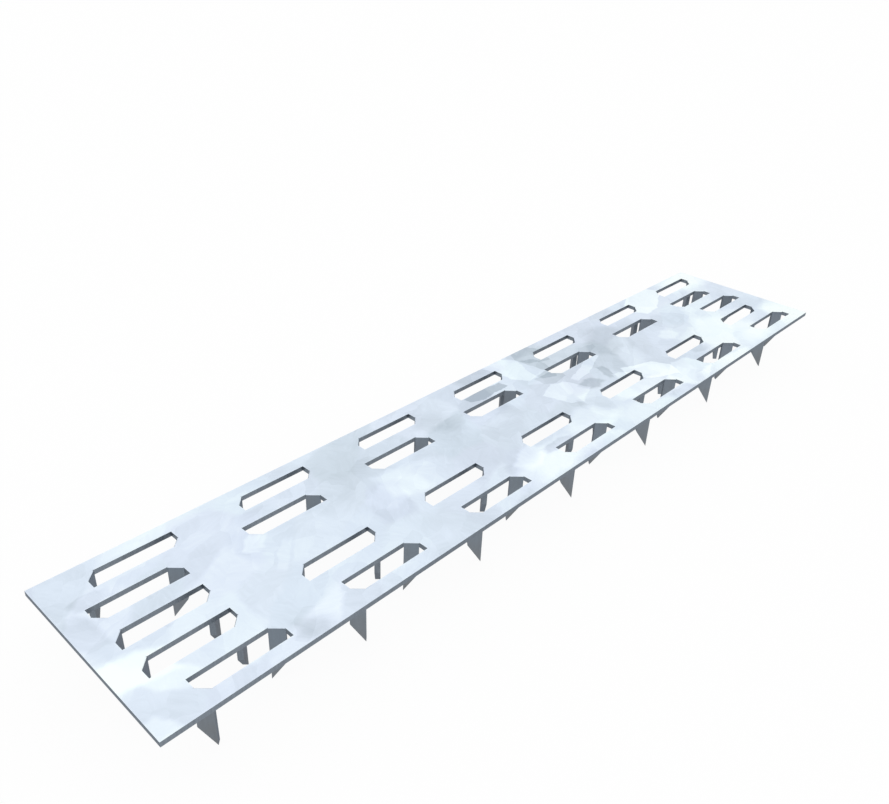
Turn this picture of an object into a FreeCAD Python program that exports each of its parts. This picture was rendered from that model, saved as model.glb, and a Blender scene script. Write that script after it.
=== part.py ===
import FreeCAD
import Part
import Sketcher
import os

# Nail plate for a scaffold board: one piece of galvanised sheet, punched with rows of slots.
# Two teeth are folded straight down out of every slot, one at each of two opposite corners.
# X runs along the plate from its near end to its far end, +Y is its left side, and Z points up.
# The origin is the centre of the underside, which is the face that lies on the board.

# Driving dimensions, in millimetres
SIZES = {
    # strip of sheet
    "plate_length": 203.0,
    "plate_width": 40.0,
    "sheet_thickness": 1.0,
    # rows of slots, and the least metal left past the end rows
    "row_pitch": 29.0,
    "end_clearance": 4.0,
    # columns of slots, from the centre line, and how far the outer ones lead the inner ones
    "inner_offset": 7.5,
    "outer_offset": 15.15,
    "stagger": 3.5,
    "slot_length": 16.2,
    "slot_width": 3.95,
    # teeth, measured down from the underside, and the step in from the ends of the cut corner
    "tooth_reach": 10.0,
    "tooth_short_side": 6.1,
    "tooth_shoulder": 0.05,
    # radii of the fold, under the plate and on its top face
    "fold_inside": 0.3,
    "fold_outside": 0.3,
}

# Sizes that follow from the driving ones.
# As many rows are punched as leave the end clearance, and they are centred on the plate.
# A tooth takes half of the slot's width, across a corner cut off at 45 degrees.
THICKNESS = "sizes.sheet_thickness"
HALF_LENGTH = "sizes.plate_length / 2"
HALF_WIDTH = "sizes.plate_width / 2"
HALF_SLOT = "sizes.slot_length / 2"
HALF_SLOT_WIDTH = "sizes.slot_width / 2"
CORNER_CUT = HALF_SLOT_WIDTH
CORNER_LENGTH = f"sqrt(2) * {CORNER_CUT}"
HALF_TOOTH = f"({CORNER_LENGTH} / 2 - sizes.tooth_shoulder)"
PATTERN_ROOM = "(sizes.plate_length - 2 * sizes.end_clearance - sizes.slot_length - sizes.stagger)"
ROW_COUNT = f"(floor({PATTERN_ROOM} / sizes.row_pitch) + 1)"
LAST_ROW = f"({ROW_COUNT} - 1) * sizes.row_pitch / 2"
HALF_STAGGER = "sizes.stagger / 2"

# A punch reaches past both faces of the sheet by more than its thickness
PUNCH_LENGTH = f"4 * {THICKNESS}"
PUNCH_TOP = f"2 * {THICKNESS}"

# A slot loses its near left and far right corners to teeth, or else the other two.
# The number is the way along X, from the slot's middle, to the tooth on its left side.
NEAR_LEFT = -1
FAR_LEFT = 1

UP = FreeCAD.Vector(0, 0, 1)
STANDING = FreeCAD.Rotation(FreeCAD.Vector(1, 0, 0), 90)
QUARTER_TURN = FreeCAD.Rotation(UP, 90)

doc = FreeCAD.newDocument("nail_plate")

sizes = doc.addObject("Spreadsheet::Sheet", "sizes")
for row, (alias, value) in enumerate(SIZES.items(), start=1):
    sizes.set(f"A{row}", alias)
    sizes.set(f"B{row}", str(value))
    sizes.setAlias(f"B{row}", alias)
doc.recompute()


def measure(expression):
    """Work out a length from the sheet."""
    return float(sizes.evalExpression(expression))


def add_body(name, x="0", y="0"):
    """Start a body whose origin is a point of the underside."""
    body = doc.addObject("PartDesign::Body", name)
    body.Label = name
    body.AllowCompound = True
    body.setExpression("Placement.Base.x", x)
    body.setExpression("Placement.Base.y", y)
    return body


def datum(body, role):
    """Find one of a body's own planes or axes."""
    return next(feature for feature in body.Origin.OriginFeatures if feature.Role == role)


def add_sketch(body, name, x="0", y="0", turn=FreeCAD.Rotation()):
    """Start a sketch at a point of the body's XY plane, flat on it or turned out of it."""
    sketch = body.newObject("Sketcher::SketchObject", name)
    sketch.AttachmentSupport = (datum(body, "XY_Plane"), [""])
    sketch.MapMode = "FlatFace"
    sketch.AttachmentOffset = FreeCAD.Placement(FreeCAD.Vector(), turn)
    sketch.setExpression("AttachmentOffset.Base.x", x)
    sketch.setExpression("AttachmentOffset.Base.y", y)
    return sketch


def tie(sketch, kind, edge, end, place):
    """Hold one end of an edge, or its centre, at a distance from the sketch's origin."""
    hold = Sketcher.Constraint(kind, -1, 1, edge, end, measure(place))
    sketch.setExpression(f"Constraints[{sketch.addConstraint(hold)}]", place)


def draw_outline(sketch, corners, arc_centre=None):
    """Draw a closed outline. With a centre given, its first side is an anticlockwise arc."""
    points = [FreeCAD.Vector(measure(x), measure(y), 0) for x, y in corners]
    for edge, start in enumerate(points):
        end = points[(edge + 1) % len(points)]
        side = Part.LineSegment(start, end)
        if arc_centre and edge == 0:
            centre = FreeCAD.Vector(measure(arc_centre[0]), measure(arc_centre[1]), 0)
            circle = Part.Circle(centre, UP, start.distanceToPoint(centre))
            side = Part.ArcOfCircle(circle, circle.parameter(start), circle.parameter(end))
        sketch.addGeometry(side)
    for edge, (x, y) in enumerate(corners):
        sketch.addConstraint(Sketcher.Constraint("Coincident", edge, 2, (edge + 1) % len(corners), 1))
        tie(sketch, "DistanceX", edge, 1, x)
        tie(sketch, "DistanceY", edge, 1, y)
    if arc_centre:
        tie(sketch, "DistanceX", 0, 3, arc_centre[0])


def add_pad(body, name, sketch, length, side_type):
    """Extrude a sketch, to one side of it or shared between both."""
    pad = body.newObject("PartDesign::Pad", name)
    pad.Profile = sketch
    pad.SideType = side_type
    pad.setExpression("Length", length)
    return pad


def repeat(body, name, originals, every_row):
    """Repeat features half a turn round the slot's middle and, where asked, in every row."""
    pair = body.newObject("PartDesign::PolarPattern", f"{name}_pair")
    pair.Axis = (datum(body, "Z_Axis"), [""])
    pair.Angle = 360
    pair.Occurrences = 2
    steps = [pair]
    if every_row:
        rows = body.newObject("PartDesign::LinearPattern", f"{name}_rows")
        rows.Direction = (datum(body, "X_Axis"), [""])
        rows.Mode = "Spacing"
        rows.setExpression("Offset", "sizes.row_pitch")
        rows.setExpression("Occurrences", ROW_COUNT)
        steps.append(rows)
    doc.recompute()
    pattern = body.newObject("PartDesign::MultiTransform", f"{name}_pattern")
    pattern.Originals = originals
    pattern.Transformations = steps
    body.Tip = pattern


def corner(hand):
    """Middle of the slot's cut corner on its left side."""
    return f"{hand} * ({HALF_SLOT} - {CORNER_CUT} / 2)", f"{HALF_SLOT_WIDTH} - {CORNER_CUT} / 2"


def facing(hand):
    """Turn of that corner, which looks out of the slot at 45 degrees to its length."""
    return FreeCAD.Rotation(UP, 90 - 45 * hand)


def slot_punches(name, x, y, hand, every_row):
    """Punches for one column of slots, which also round the top edge where the teeth turn down."""
    body = add_body(f"{name}_punches", x, y)
    tooth_end = f"{hand} * {HALF_SLOT}"
    other_end = f"-{hand} * {HALF_SLOT}"
    outline = add_sketch(body, f"{name}_slot_outline")
    draw_outline(outline, [
        (other_end, HALF_SLOT_WIDTH),
        (f"{tooth_end} - {hand} * {CORNER_CUT}", HALF_SLOT_WIDTH),
        (tooth_end, f"{HALF_SLOT_WIDTH} - {CORNER_CUT}"),
        (tooth_end, f"-{HALF_SLOT_WIDTH}"),
        (f"{other_end} + {hand} * {CORNER_CUT}", f"-{HALF_SLOT_WIDTH}"),
        (other_end, f"{CORNER_CUT} - {HALF_SLOT_WIDTH}"),
    ])
    slot = add_pad(body, f"{name}_slot", outline, PUNCH_LENGTH, "Symmetric")

    fold_outline = add_sketch(body, f"{name}_fold_outside_outline", *corner(hand), facing(hand) * STANDING)
    draw_outline(fold_outline, [
        ("sizes.fold_outside", THICKNESS),
        ("0", f"{THICKNESS} - sizes.fold_outside"),
        (f"-{THICKNESS}", f"{THICKNESS} - sizes.fold_outside"),
        (f"-{THICKNESS}", PUNCH_TOP),
        ("sizes.fold_outside", PUNCH_TOP),
    ], ("sizes.fold_outside", f"{THICKNESS} - sizes.fold_outside"))
    fold = add_pad(body, f"{name}_fold_outside", fold_outline, f"2 * {HALF_TOOTH}", "Symmetric")
    repeat(body, f"{name}_punch", [slot, fold], every_row)
    return body


def tooth_pairs(name, x, y, hand, every_row):
    """Teeth of one column of slots, each folded straight down with a radius under the plate."""
    body = add_body(f"{name}_teeth", x, y)
    blade_outline = add_sketch(
        body, f"{name}_blade_outline", *corner(hand), facing(hand) * QUARTER_TURN * STANDING)
    draw_outline(blade_outline, [
        (f"-{HALF_TOOTH}", "-sizes.tooth_short_side"),
        (HALF_TOOTH, "-sizes.tooth_reach"),
        (HALF_TOOTH, f"{THICKNESS} / 2"),
        (f"-{HALF_TOOTH}", f"{THICKNESS} / 2"),
    ])
    blade = add_pad(body, f"{name}_blade", blade_outline, THICKNESS, "One side")

    fold_outline = add_sketch(body, f"{name}_fold_inside_outline", *corner(hand), facing(hand) * STANDING)
    draw_outline(fold_outline, [
        (f"{THICKNESS} + sizes.fold_inside", "0"),
        (THICKNESS, "-sizes.fold_inside"),
        (f"{THICKNESS} / 2", "-sizes.fold_inside"),
        (f"{THICKNESS} / 2", f"{THICKNESS} / 2"),
        (f"{THICKNESS} + sizes.fold_inside", f"{THICKNESS} / 2"),
    ], (f"{THICKNESS} + sizes.fold_inside", "-sizes.fold_inside"))
    fold = add_pad(body, f"{name}_fold_inside", fold_outline, f"2 * {HALF_TOOTH}", "Symmetric")
    repeat(body, f"{name}_tooth", [blade, fold], every_row)
    return body


# Blank: a plain strip cut from the coil
blank = add_body("blank")
blank_outline = add_sketch(blank, "blank_outline")
draw_outline(blank_outline, [
    (f"-{HALF_LENGTH}", f"-{HALF_WIDTH}"),
    (HALF_LENGTH, f"-{HALF_WIDTH}"),
    (HALF_LENGTH, HALF_WIDTH),
    (f"-{HALF_LENGTH}", HALF_WIDTH),
])
add_pad(blank, "strip", blank_outline, THICKNESS, "One side")

# Columns of slots: their name, place in their first row, hand, and whether every row has one.
# The outer columns are set towards the far end. Each end row has a slot more on the centre line.
first_inner = f"-({LAST_ROW}) - {HALF_STAGGER}"
first_outer = f"-({LAST_ROW}) + {HALF_STAGGER}"
last_outer = f"{LAST_ROW} + {HALF_STAGGER}"
columns = [
    ("left_outer", first_outer, "sizes.outer_offset", NEAR_LEFT, True),
    ("left_inner", first_inner, "sizes.inner_offset", FAR_LEFT, True),
    ("right_inner", first_inner, "-sizes.inner_offset", NEAR_LEFT, True),
    ("right_outer", first_outer, "-sizes.outer_offset", FAR_LEFT, True),
    ("near_middle", first_inner, "0", NEAR_LEFT, False),
    ("far_middle", last_outer, "0", FAR_LEFT, False),
]

punches = doc.addObject("Part::Compound", "punches")
punches.Links = [slot_punches(*column) for column in columns]
punched = doc.addObject("Part::Cut", "punched_strip")
punched.Base = blank
punched.Tool = punches

plate = doc.addObject("Part::MultiFuse", "nail_plate")
plate.Label = "nail_plate"
plate.Shapes = [punched] + [tooth_pairs(*column) for column in columns]
plate.Refine = True
plate.Placement = FreeCAD.Placement()
doc.recompute()

# The finished plate is one sound solid
for item in doc.Objects:
    if "Invalid" in item.State or "Error" in item.State:
        raise RuntimeError(f"{item.Label} did not build: {item.State}")
shape = plate.Shape
if shape.isNull() or not shape.isValid() or len(shape.Solids) != 1:
    raise RuntimeError("the plate is not one sound solid")
print(f"{len(shape.Faces)} faces, {shape.Volume:.1f} cubic mm, box {shape.BoundBox}")

os.makedirs("parts", exist_ok=True)
shape.exportStep(f"parts/{plate.Label}.step")
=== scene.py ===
from math import cos, pi, radians, sin

import bpy
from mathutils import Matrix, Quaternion, Vector


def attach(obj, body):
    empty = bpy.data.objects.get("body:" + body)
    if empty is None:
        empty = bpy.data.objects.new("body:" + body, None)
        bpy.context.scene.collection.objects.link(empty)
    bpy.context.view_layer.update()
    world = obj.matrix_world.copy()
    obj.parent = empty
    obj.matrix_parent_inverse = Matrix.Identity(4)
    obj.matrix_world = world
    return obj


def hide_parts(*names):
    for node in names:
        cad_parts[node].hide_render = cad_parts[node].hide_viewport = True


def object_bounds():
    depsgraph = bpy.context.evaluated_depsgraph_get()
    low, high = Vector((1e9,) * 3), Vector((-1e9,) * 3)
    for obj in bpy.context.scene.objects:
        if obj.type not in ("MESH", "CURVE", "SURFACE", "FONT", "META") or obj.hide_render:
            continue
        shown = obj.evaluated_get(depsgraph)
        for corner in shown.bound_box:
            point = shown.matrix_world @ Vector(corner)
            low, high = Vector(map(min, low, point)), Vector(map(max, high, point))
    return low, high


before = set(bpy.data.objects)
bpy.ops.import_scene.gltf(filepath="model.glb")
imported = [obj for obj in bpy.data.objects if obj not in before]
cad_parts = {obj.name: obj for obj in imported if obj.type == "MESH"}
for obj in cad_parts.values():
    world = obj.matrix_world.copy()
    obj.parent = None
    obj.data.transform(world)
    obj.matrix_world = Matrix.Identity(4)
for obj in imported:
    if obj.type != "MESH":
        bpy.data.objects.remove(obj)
cad_low, cad_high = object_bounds()

# Nail plate: a strip of hot-dip galvanised steel sheet, 1 mm thick, punched with thirty slots.
# Two teeth are sheared out of each slot and folded straight down in the same press stroke, so sheet
# and teeth are one piece: zinc on their broad faces, bare steel where they were cut.
TOUCHING = 1e-6
SMOOTH_ANGLE = radians(30)

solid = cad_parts["nail_plate"]
plate = bpy.data.objects.new("toothed_plate", solid.data.copy())
bpy.context.scene.collection.objects.link(plate)
bpy.ops.object.select_all(action="DESELECT")
plate.select_set(True)
bpy.context.view_layer.objects.active = plate
bpy.ops.mesh.customdata_custom_splitnormals_clear()
bpy.ops.object.mode_set(mode="EDIT")
bpy.ops.mesh.select_all(action="SELECT")
bpy.ops.mesh.remove_doubles(threshold=TOUCHING)
bpy.ops.object.mode_set(mode="OBJECT")
bpy.ops.object.shade_smooth_by_angle(angle=SMOOTH_ANGLE)
even_flats = plate.modifiers.new("even_flats", "WEIGHTED_NORMAL")
even_flats.keep_sharp = True
bpy.ops.object.modifier_apply(modifier=even_flats.name)


def add_step(finish, kind, sockets, **settings):
    """One node of a finish. A socket gets a number or colour, or a link from another node's output."""
    step = finish.node_tree.nodes.new(kind)
    for name, value in settings.items():
        setattr(step, name, value)
    for key, value in sockets.items():
        if isinstance(value, bpy.types.NodeSocket):
            finish.node_tree.links.new(value, step.inputs[key])
        else:
            step.inputs[key].default_value = value
    return step


def new_finish(name):
    """An empty finish, with no nodes yet."""
    finish = bpy.data.materials.new(name)
    finish.use_nodes = True
    finish.node_tree.nodes.clear()
    return finish


def figured(finish, operation, *values):
    """A sum on plain numbers, such as the larger of two."""
    return add_step(finish, "ShaderNodeMath", dict(enumerate(values)), operation=operation).outputs["Value"]


def threefold(finish, operation, sockets):
    """A sum on places or colours, which have three numbers each."""
    return add_step(finish, "ShaderNodeVectorMath", sockets, operation=operation).outputs["Vector"]


def spread(finish, value, reach, result):
    """A value that runs over one reach laid out over another, and held at its ends."""
    sockets = {
        "Value": value,
        "From Min": reach[0],
        "From Max": reach[1],
        "To Min": result[0],
        "To Max": result[1],
    }
    return add_step(finish, "ShaderNodeMapRange", sockets).outputs["Result"]


def tone_ramp(finish, value, stops):
    """Turns a value from 0 to 1 into a colour by a few named stops."""
    ramp = add_step(finish, "ShaderNodeValToRGB", {"Fac": value})
    band = ramp.color_ramp
    band.elements[0].position = stops[0][0]
    band.elements[1].position = stops[-1][0]
    for place, colour in stops[1:-1]:
        band.elements.new(place)
    for element, (place, colour) in zip(band.elements, stops):
        element.color = (*colour, 1)
    return ramp.outputs["Color"]


# Zinc skin of the sheet: the spangle of hot-dip zinc, flat crystals in pale blue greys with straight
# edges, some melted into each other and each with its own feathered grain. The largest lie as in the
# photograph, and the rims of the slots are rubbed a little brighter.
MM = 0.001
FULL = (0, 1)
TONE_STOPS = [
    (0.00, (0.44, 0.516, 0.59)),
    (0.20, (0.567, 0.642, 0.72)),
    (0.50, (0.718, 0.80, 0.90)),
    (0.80, (0.850, 0.940, 0.980)),
    (1.00, (0.92, 0.988, 0.99)),
]
LILAC, PLAIN, SEA = (0.998, 0.990, 1.005), (1, 1, 1), (0.994, 1.003, 0.998)
HUE_STOPS = [(0.1, LILAC), (0.5, PLAIN), (0.9, SEA)]
WHITE, PALE, LIGHT, BRIGHT = 0.40, 0.25, 0.18, 0.11
GREY, DARK, DIM, DEEP = -0.08, -0.20, -0.30, -0.42
SHARP, SOFT, MELTED = 0.05, 0.25, 0.6
# change of tone, edge, middle along and across, half length and half width in mm, turn in degrees
LARGE_CRYSTALS = [
    (BRIGHT, MELTED, -79.0, -1.0, 27.0, 22.0, 0),
    (LIGHT, MELTED, 82.0, -3.0, 26.0, 22.0, 0),
    (PALE, SOFT, -100.4, -18.4, 2.6, 2.6, 0),
    (LIGHT, MELTED, -80.0, 18.8, 10.0, 2.0, 0),
    (BRIGHT, MELTED, -77.0, 14.2, 9.0, 4.5, 0),
    (BRIGHT, MELTED, -62.5, 19.2, 6.0, 2.0, 0),
    (DARK, SOFT, -95.2, 10.6, 3.2, 1.6, 10),
    (DARK, SOFT, -99.3, 4.7, 2.4, 4.0, 0),
    (GREY, MELTED, -92.0, 4.5, 6.5, 2.2, 0),
    (WHITE, SOFT, -98.5, -6.6, 6.0, 3.4, -8),
    (PALE, SOFT, -94.5, -11.6, 4.6, 2.2, -35),
    (LIGHT, SOFT, -68.4, 4.6, 2.6, 1.6, 50),
    (BRIGHT, SOFT, -66.8, -1.2, 3.8, 1.0, 50),
    (DIM, MELTED, -73.6, -17.8, 2.8, 2.2, -20),
    (GREY, MELTED, -79.0, -19.2, 7.0, 1.8, 0),
    (GREY, MELTED, -52.0, -19.2, 8.0, 2.0, 0),
    (GREY, MELTED, -47.5, 8.4, 8.5, 4.6, 48),
    (LIGHT, SOFT, -33.4, -0.8, 8.4, 4.8, -5),
    (BRIGHT, SOFT, -43.0, -1.6, 4.0, 3.2, 10),
    (BRIGHT, MELTED, -28.4, 4.6, 5.0, 3.0, 0),
    (BRIGHT, MELTED, -9.0, 4.0, 5.0, 3.0, 0),
    (DARK, MELTED, -17.4, 10.6, 4.8, 3.2, -30),
    (PALE, SOFT, -13.0, -11.6, 4.6, 2.6, 35),
    (WHITE, MELTED, -9.5, -16.2, 11.5, 4.2, 14),
    (DIM, SOFT, -4.9, -12.4, 4.4, 1.3, 0),
    (DARK, SOFT, 4.5, 18.6, 6.0, 2.2, 0),
    (DEEP, SHARP, 0.6, 11.6, 6.0, 1.6, 3),
    (PALE, SHARP, 13.5, 14.6, 4.4, 6.2, 8),
    (DARK, SHARP, 22.4, 17.0, 4.4, 4.2, -25),
    (DARK, SHARP, 18.3, 11.0, 3.0, 5.0, -25),
    (DARK, SHARP, 17.2, 5.8, 3.6, 1.9, -4),
    (PALE, SHARP, 14.7, -0.9, 4.6, 4.8, 22),
    (GREY, SHARP, 15.3, -8.6, 4.0, 2.8, -30),
    (PALE, SOFT, 8.5, -12.0, 6.5, 4.5, 20),
    (BRIGHT, SOFT, 4.5, -19.2, 5.0, 2.0, 0),
    (PALE, MELTED, 22.0, -17.4, 17.0, 3.6, 4),
    (DARK, SOFT, 36.0, -19.0, 4.5, 2.0, 0),
    (GREY, MELTED, 32.4, 19.2, 6.0, 1.6, 0),
    (DIM, SOFT, 22.2, -2.5, 2.6, 2.2, 20),
    (DIM, SOFT, 29.3, -1.3, 1.5, 3.0, -25),
    (PALE, SHARP, 27.8, 3.8, 7.5, 1.4, 22),
    (DARK, SOFT, 43.8, 8.8, 7.6, 4.8, 40),
    (WHITE, SOFT, 29.5, -11.4, 8.0, 2.4, 0),
    (WHITE, SHARP, 38.4, -8.2, 6.2, 3.4, -25),
    (PALE, SHARP, 31.4, -4.9, 2.6, 1.2, -20),
    (WHITE, SOFT, 57.0, -19.2, 10.0, 1.8, 0),
    (PALE, SHARP, 45.0, -15.0, 6.5, 5.0, 20),
    (LIGHT, SOFT, 59.0, -0.9, 3.2, 2.0, 15),
    (GREY, SOFT, 61.0, 17.6, 6.0, 2.4, 25),
    (DARK, SOFT, 58.8, -10.8, 3.6, 1.6, 0),
    (GREY, SHARP, 67.2, 4.4, 4.8, 4.6, 30),
    (WHITE, SHARP, 73.2, 16.4, 8.8, 4.4, 30),
    (PALE, SOFT, 72.0, -11.0, 10.0, 9.0, 15),
    (PALE, MELTED, 88.0, -18.0, 13.0, 3.0, 0),
    (GREY, MELTED, 84.0, 11.0, 5.0, 2.5, 15),
    (GREY, SOFT, 94.0, -5.5, 6.0, 3.5, 20),
    (WHITE, MELTED, 95.6, 16.6, 9.0, 4.8, 0),
    (PALE, SOFT, 100.0, 18.4, 4.0, 3.0, 0),
    (WHITE, MELTED, 98.8, -15.0, 4.0, 5.0, 0),
]
CORNER_CUT = 0.72
WIDE_WANDER, WIDE_REACH = {"Scale": 90, "Detail": 2}, 3.5 * MM
FINE_WANDER, FINE_REACH = {"Scale": 500, "Detail": 2}, 1.2 * MM
GROWTH_WAY = radians(40)
GROWTH_STRETCH = (1, 0.6, 1)
CRYSTALS = {"Scale": 75, "Smoothness": 0.3}
SMALL_CRYSTALS = {"Scale": 190}
CRYSTAL_CHANCE, CRYSTAL_TONES = (0.1, 0.9), (0.31, 0.51)
CLOUDS = {"Scale": 70, "Detail": 4, "Roughness": 0.55}
GRAIN = {"Scale": 260, "Detail": 4, "Roughness": 0.6}
GRAIN_STRETCH = (1, 5, 1)
CLOUD_SWING, SMALL_SWING, GRAIN_SWING = (-0.16, 0.16), (-0.055, 0.055), (-0.10, 0.10)
RIM_WIDTH = 0.4 * MM
RIM_RAYS = 8
RIM_SHELTER = (0.95, 0.55)
RUBBED_PATCHES = {"Scale": 900, "Detail": 2}
RUBBED_CHANCE, RUBBED_GAIN = (0.4, 0.65), (0, 0.15)
ZINC_ROUGHNESS = (0.36, 0.52)
ZINC_RELIEF = {"Strength": 0.2, "Distance": 0.04 * MM}
MIDDLE = (0.5, 0.5, 0.5)


def wandered(place, unevenness, reach):
    """A place shifted by up to about a quarter of reach, so that straight edges come out uneven."""
    drift = add_step(zinc, "ShaderNodeTexNoise", {"Vector": place, **unevenness}).outputs["Color"]
    drift = threefold(zinc, "SUBTRACT", {0: drift, 1: MIDDLE})
    drift = threefold(zinc, "SCALE", {0: drift, "Scale": reach})
    return threefold(zinc, "ADD", {0: place, 1: drift})


def measured(way, along, across, half_size):
    """How far a place lies from a crystal's middle in one direction, counted in half sizes of the crystal."""
    middle = along * cos(way) + across * sin(way)
    share = figured(
        zinc, "MULTIPLY_ADD", flat_spot.outputs["Y"], sin(way) / (half_size * MM), -middle / half_size
    )
    return figured(zinc, "MULTIPLY_ADD", flat_spot.outputs["X"], cos(way) / (half_size * MM), share)


zinc = new_finish("galvanised_skin")
spot = add_step(zinc, "ShaderNodeTexCoord", {}).outputs["Object"]
bent = wandered(spot, WIDE_WANDER, WIDE_REACH)
bent = wandered(bent, FINE_WANDER, FINE_REACH)
grown = add_step(
    zinc,
    "ShaderNodeMapping",
    {"Vector": bent, "Rotation": (0, 0, GROWTH_WAY), "Scale": GROWTH_STRETCH},
    vector_type="TEXTURE",
).outputs["Vector"]
crystal = add_step(
    zinc,
    "ShaderNodeTexVoronoi",
    {"Vector": grown, **CRYSTALS},
    feature="SMOOTH_F1",
    voronoi_dimensions="2D",
)
chance = add_step(zinc, "ShaderNodeSeparateColor", {"Color": crystal.outputs["Color"]})
small_crystal = add_step(
    zinc, "ShaderNodeTexVoronoi", {"Vector": grown, **SMALL_CRYSTALS}, voronoi_dimensions="2D"
)
small_chance = add_step(zinc, "ShaderNodeSeparateColor", {"Color": small_crystal.outputs["Color"]})
cloud = add_step(zinc, "ShaderNodeTexNoise", {"Vector": spot, **CLOUDS})

turn = figured(zinc, "MULTIPLY", small_chance.outputs["Green"], pi)
grain_way = add_step(zinc, "ShaderNodeVectorRotate", {"Vector": bent, "Angle": turn}, rotation_type="Z_AXIS")
grain_way = add_step(
    zinc, "ShaderNodeMapping", {"Vector": grain_way.outputs["Vector"], "Scale": GRAIN_STRETCH}
)
grain = add_step(zinc, "ShaderNodeTexNoise", {"Vector": grain_way.outputs["Vector"], **GRAIN})

tone = spread(zinc, chance.outputs["Red"], CRYSTAL_CHANCE, CRYSTAL_TONES)
tone = figured(zinc, "ADD", tone, spread(zinc, cloud.outputs["Fac"], FULL, CLOUD_SWING))
tone = figured(zinc, "ADD", tone, spread(zinc, small_chance.outputs["Red"], FULL, SMALL_SWING))
tone = figured(zinc, "ADD", tone, spread(zinc, grain.outputs["Fac"], FULL, GRAIN_SWING))

flat_spot = add_step(zinc, "ShaderNodeSeparateXYZ", {"Vector": bent})
large_tone = 0
for change, edge, along, across, half_length, half_width, turned in LARGE_CRYSTALS:
    lengthwise = measured(radians(turned), along, across, half_length)
    crosswise = measured(radians(turned) + pi / 2, along, across, half_width)
    sides = figured(
        zinc, "MAXIMUM", figured(zinc, "ABSOLUTE", lengthwise), figured(zinc, "ABSOLUTE", crosswise)
    )
    corners = figured(zinc, "ABSOLUTE", figured(zinc, "ADD", lengthwise, crosswise))
    far = figured(zinc, "MAXIMUM", sides, figured(zinc, "MULTIPLY", corners, CORNER_CUT))
    inside = add_step(
        zinc,
        "ShaderNodeMapRange",
        {"Value": far, "From Min": 1 + edge, "From Max": 1 - edge},
        interpolation_type="SMOOTHSTEP",
        clamp=False,
    ).outputs["Result"]
    large_tone = figured(zinc, "MULTIPLY_ADD", inside, change, large_tone)
tone = figured(zinc, "ADD", tone, large_tone)

rim = add_step(
    zinc,
    "ShaderNodeAmbientOcclusion",
    {"Distance": RIM_WIDTH},
    samples=RIM_RAYS,
    inside=True,
    only_local=True,
)
rubbed = spread(zinc, rim.outputs["AO"], RIM_SHELTER, FULL)
patchy = add_step(zinc, "ShaderNodeTexNoise", {"Vector": spot, **RUBBED_PATCHES})
patchy = spread(zinc, patchy.outputs["Fac"], RUBBED_CHANCE, RUBBED_GAIN)
tone = figured(zinc, "MULTIPLY_ADD", rubbed, patchy, tone)
zinc_colour = tone_ramp(zinc, tone, TONE_STOPS)
hue = tone_ramp(zinc, chance.outputs["Green"], HUE_STOPS)
zinc_colour = threefold(zinc, "MULTIPLY", {0: zinc_colour, 1: hue})
zinc_bump = add_step(zinc, "ShaderNodeBump", {"Height": grain.outputs["Fac"], **ZINC_RELIEF})
zinc_skin = add_step(
    zinc,
    "ShaderNodeBsdfPrincipled",
    {
        "Base Color": zinc_colour,
        "Metallic": 1.0,
        "Roughness": spread(zinc, chance.outputs["Blue"], FULL, ZINC_ROUGHNESS),
        "Normal": zinc_bump.outputs["Normal"],
    },
)
add_step(zinc, "ShaderNodeOutputMaterial", {"Surface": zinc_skin.outputs["BSDF"]})

# Zinc skin of the teeth: the sheet's zinc painted darker as shade on the upright faces, streaked down the
# tooth, bluer at the root than at the point, and with more painted shade where the plate hangs over it.
# Both tooth colours are the sheet's zinc painted dark as shade, since the teeth stand upright under the
# plate.
SHADED_ROOT_COLOUR = (0.224, 0.264, 0.310, 1)
SHADED_POINT_COLOUR = (0.208, 0.222, 0.236, 1)
TOOTH_HEIGHTS = (0.5 * MM, -10 * MM)
DRAW_STREAKS = {"Scale": 1400, "Detail": 4, "Roughness": 0.6}
DRAW_STRETCH = (1, 1, 0.12)
DRAW_PATCHES = {"Scale": 260, "Detail": 2}
PATCH_SWING = (-0.5, 0.5)
STREAK_CHANCE, STREAK_SHADE = (0.25, 0.75), (0.9, 1.1)
PAINTED_SHADE_REACH = 12 * MM
PAINTED_SHADE_RAYS = 8
PAINTED_SHADE_OPEN, PAINTED_SHADE_RANGE = (0.35, 0.85), (0.8, 1.0)
TOOTH_RELIEF = {"Strength": 0.3, "Distance": 0.04 * MM}
TOOTH_ROUGHNESS = (0.4, 0.6)
DULL_TINT = (0.5, 0.5, 0.52, 1)

tooth_zinc = new_finish("shaded_tooth_skin")
spot = add_step(tooth_zinc, "ShaderNodeTexCoord", {}).outputs["Object"]
height = add_step(tooth_zinc, "ShaderNodeSeparateXYZ", {"Vector": spot}).outputs["Z"]
draw_way = add_step(tooth_zinc, "ShaderNodeMapping", {"Vector": spot, "Scale": DRAW_STRETCH})
draw = add_step(tooth_zinc, "ShaderNodeTexNoise", {"Vector": draw_way.outputs["Vector"], **DRAW_STREAKS})
patch = add_step(tooth_zinc, "ShaderNodeTexNoise", {"Vector": spot, **DRAW_PATCHES})
down = spread(tooth_zinc, height, TOOTH_HEIGHTS, FULL)
uneven = spread(tooth_zinc, patch.outputs["Fac"], FULL, PATCH_SWING)
down = add_step(tooth_zinc, "ShaderNodeMath", {0: down, 1: uneven}, operation="ADD", use_clamp=True)
plain = add_step(
    tooth_zinc, "ShaderNodeMix", {0: down.outputs["Value"], 6: SHADED_ROOT_COLOUR, 7: SHADED_POINT_COLOUR}, data_type="RGBA"
)
streak = spread(tooth_zinc, draw.outputs["Fac"], STREAK_CHANCE, STREAK_SHADE)
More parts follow.
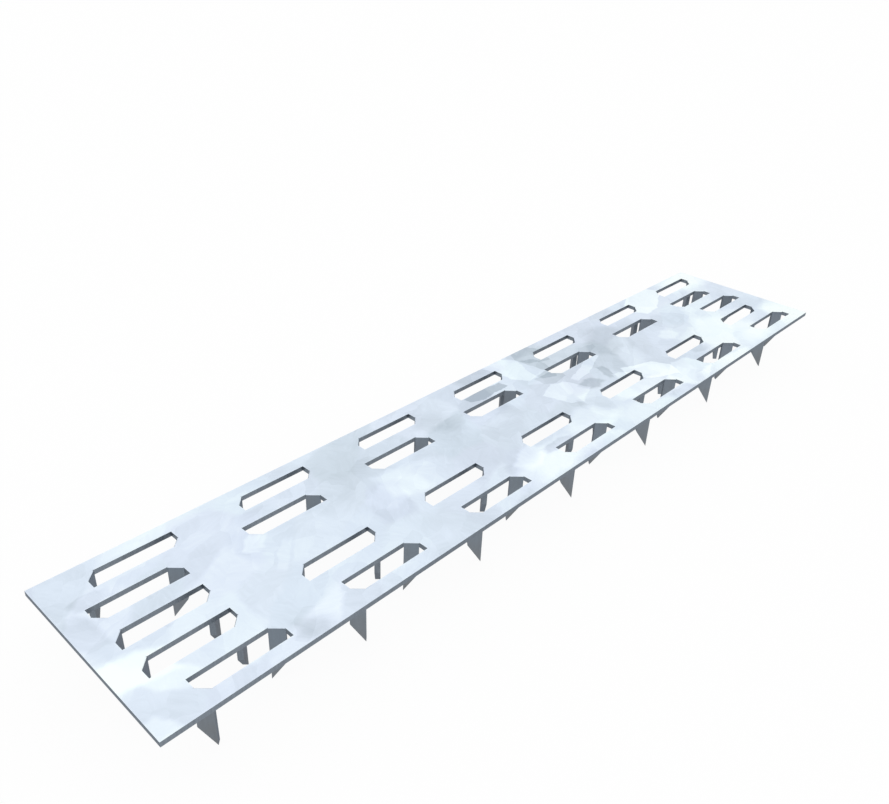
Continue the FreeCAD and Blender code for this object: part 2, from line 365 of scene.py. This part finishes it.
# Painted shade: ambient occlusion darkens the teeth most where the plate hangs over them.
under_plate_occlusion = add_step(
    tooth_zinc,
    "ShaderNodeAmbientOcclusion",
    {"Distance": PAINTED_SHADE_REACH},
    samples=PAINTED_SHADE_RAYS,
    only_local=True,
)
painted_under_plate_shade = spread(tooth_zinc, under_plate_occlusion.outputs["AO"], PAINTED_SHADE_OPEN, PAINTED_SHADE_RANGE)
shade = figured(tooth_zinc, "MULTIPLY", streak, painted_under_plate_shade)
shaded_tooth_colour = threefold(tooth_zinc, "SCALE", {0: plain.outputs[2], "Scale": shade})
tooth_bump = add_step(tooth_zinc, "ShaderNodeBump", {"Height": draw.outputs["Fac"], **TOOTH_RELIEF})
tooth_skin = add_step(
    tooth_zinc,
    "ShaderNodeBsdfPrincipled",
    {
        "Base Color": shaded_tooth_colour,
        "Metallic": 1.0,
        "Specular Tint": DULL_TINT,
        "Roughness": spread(tooth_zinc, draw.outputs["Fac"], FULL, TOOTH_ROUGHNESS),
        "Normal": tooth_bump.outputs["Normal"],
    },
)
add_step(tooth_zinc, "ShaderNodeOutputMaterial", {"Surface": tooth_skin.outputs["BSDF"]})

# Cut steel of the slot walls, the strip's edges and the sides of the teeth: grey, with the fine upright
# drag marks that the punch and shear leave, and painted darker as shade down the teeth than in the sheet.
CUT_STOPS = [(0.25, (0.209, 0.242, 0.280)), (0.75, (0.275, 0.314, 0.358))]
SHEAR_MARKS = {"Scale": 2600, "Detail": 3, "Roughness": 0.6}
SHEAR_STRETCH = (1, 1, 0.15)
SIDE_HEIGHTS, PAINTED_TOOTH_SHADE = (-1 * MM, 0), (0.82, 1.0)
CUT_RELIEF = {"Strength": 0.3, "Distance": 0.03 * MM}
CUT_ROUGHNESS = 0.5

cut_steel = new_finish("sheared_edge")
spot = add_step(cut_steel, "ShaderNodeTexCoord", {}).outputs["Object"]
shear_way = add_step(cut_steel, "ShaderNodeMapping", {"Vector": spot, "Scale": SHEAR_STRETCH})
shear = add_step(cut_steel, "ShaderNodeTexNoise", {"Vector": shear_way.outputs["Vector"], **SHEAR_MARKS})
cut_colour = tone_ramp(cut_steel, shear.outputs["Fac"], CUT_STOPS)
# Painted shade: the cut sides of the teeth, below the sheet, are darkened as if in the plate's shade.
height = add_step(cut_steel, "ShaderNodeSeparateXYZ", {"Vector": spot}).outputs["Z"]
side = spread(cut_steel, height, SIDE_HEIGHTS, PAINTED_TOOTH_SHADE)
cut_colour = threefold(cut_steel, "SCALE", {0: cut_colour, "Scale": side})
cut_bump = add_step(cut_steel, "ShaderNodeBump", {"Height": shear.outputs["Fac"], **CUT_RELIEF})
cut_face = add_step(
    cut_steel,
    "ShaderNodeBsdfPrincipled",
    {
        "Base Color": cut_colour,
        "Metallic": 1.0,
        "Specular Tint": DULL_TINT,
        "Roughness": CUT_ROUGHNESS,
        "Normal": cut_bump.outputs["Normal"],
    },
)
add_step(cut_steel, "ShaderNodeOutputMaterial", {"Surface": cut_face.outputs["BSDF"]})

# Where each finish lies: the skin is what runs on from the sheet's two faces, over the folds and down
# the teeth. It keeps the zinc colour on the flats and the top of a fold, and takes the painted shade below.
FLAT_UP = 0.99
FOLD_UNSHADED_LIMIT = 0.55
SAME_SKIN_ANGLE = radians(20)
SHEET_SKIN, SHADED_TOOTH_SKIN, CUT_FACE = 0, 1, 2

plate.data.materials.clear()
for finish in (zinc, tooth_zinc, cut_steel):
    plate.data.materials.append(finish)
bpy.ops.object.mode_set(mode="EDIT")
bpy.ops.mesh.select_mode(type="FACE")
bpy.ops.mesh.select_all(action="DESELECT")
bpy.ops.object.mode_set(mode="OBJECT")
for face in plate.data.polygons:
    face.select = abs(face.normal.z) > FLAT_UP
    face.material_index = CUT_FACE
bpy.ops.object.mode_set(mode="EDIT")
bpy.ops.mesh.faces_select_linked_flat(sharpness=SAME_SKIN_ANGLE)
bpy.ops.object.mode_set(mode="OBJECT")
# Steeper faces of the skin get the tooth colour with its painted shade.
for face in plate.data.polygons:
    keeps_zinc_colour = face.normal.z > FOLD_UNSHADED_LIMIT or face.normal.z < -FLAT_UP
    if face.select:
        face.material_index = SHEET_SKIN if keeps_zinc_colour else SHADED_TOOTH_SKIN

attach(plate, "root")
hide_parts("nail_plate")

# Floor: a plain white studio floor that the tips of the teeth stand on, wide enough to fill every view.
# Seen straight on or mirrored in the metal it is white, and a small share of it still takes the shadow.
FLOOR_HEIGHT = cad_low.z
FLOOR_REACH = 4.0
FLOOR_COLOUR = (0.9, 0.9, 0.9, 1)
STUDIO_WHITE = (1, 1, 1, 1)
SHADOW_SHARE = 0.06

bpy.ops.object.select_all(action="DESELECT")
bpy.ops.mesh.primitive_plane_add(size=2 * FLOOR_REACH, location=(0, 0, FLOOR_HEIGHT))
floor = bpy.context.object
floor.name = "studio_floor"
white_floor = new_finish("studio_white")
path = add_step(white_floor, "ShaderNodeLightPath", {})
seen = figured(white_floor, "MAXIMUM", path.outputs["Is Camera Ray"], path.outputs["Is Glossy Ray"])
seen = figured(white_floor, "MAXIMUM", seen, path.outputs["Is Transmission Ray"])
share = figured(white_floor, "MULTIPLY", seen, 1 - SHADOW_SHARE)
matt = add_step(white_floor, "ShaderNodeBsdfDiffuse", {"Color": FLOOR_COLOUR})
glow = add_step(white_floor, "ShaderNodeEmission", {"Color": STUDIO_WHITE, "Strength": 1.0})
lit = add_step(
    white_floor, "ShaderNodeMixShader", {0: share, 1: matt.outputs["BSDF"], 2: glow.outputs["Emission"]}
)
add_step(white_floor, "ShaderNodeOutputMaterial", {"Surface": lit.outputs["Shader"]})
floor.data.materials.append(white_floor)

# Light: an even white studio all round, which the metal mirrors, with one broad soft panel high over
# the plate and a little behind it, turned to face the middle of the plate.
PANEL_SIDE = 2.0
PANEL_POWER = 1.0
PANEL_PLACE = Vector((0.1, 0.3, 1.2))

world = bpy.data.worlds.new("studio")
bpy.context.scene.world = world
world.use_nodes = True
world.node_tree.nodes.clear()
sky = add_step(world, "ShaderNodeBackground", {"Color": STUDIO_WHITE, "Strength": 1.0})
add_step(world, "ShaderNodeOutputWorld", {"Surface": sky.outputs["Background"]})

panel = bpy.data.lights.new("soft_panel", "AREA")
panel.shape = "RECTANGLE"
panel.size = PANEL_SIDE
panel.size_y = PANEL_SIDE
panel.energy = PANEL_POWER
panel_stand = bpy.data.objects.new("soft_panel", panel)
panel_stand.location = PANEL_PLACE
panel_stand.rotation_mode = "QUATERNION"
panel_stand.rotation_quaternion = (-PANEL_PLACE).to_track_quat("-Z", "Y")
bpy.context.scene.collection.objects.link(panel_stand)

# Camera: where the photograph was taken from, above and off the near right corner, about as far from
# the plate's middle as the plate is long, and tipped a little to one side.
CAMERA_PLACE = Vector((-0.13297, -0.09631, 0.09826))
CAMERA_AIM = Vector((-0.009664, 0.015261, 0.001003))
CAMERA_ROLL = radians(2.495)
LENS_LENGTH, SENSOR_WIDTH = 34.963, 36
NEAREST, FURTHEST = 0.005, 20

lens = bpy.data.cameras.new("photo_camera")
lens.sensor_fit = "HORIZONTAL"
lens.sensor_width = SENSOR_WIDTH
lens.lens = LENS_LENGTH
lens.clip_start = NEAREST
lens.clip_end = FURTHEST
camera = bpy.data.objects.new("photo_camera", lens)
camera.location = CAMERA_PLACE
camera.rotation_mode = "QUATERNION"
aim = (CAMERA_AIM - CAMERA_PLACE).to_track_quat("-Z", "Y")
camera.rotation_quaternion = aim @ Quaternion((0, 0, 1), CAMERA_ROLL)
bpy.context.scene.collection.objects.link(camera)
bpy.context.scene.camera = camera
bpy.context.scene.view_settings.view_transform = "Standard"
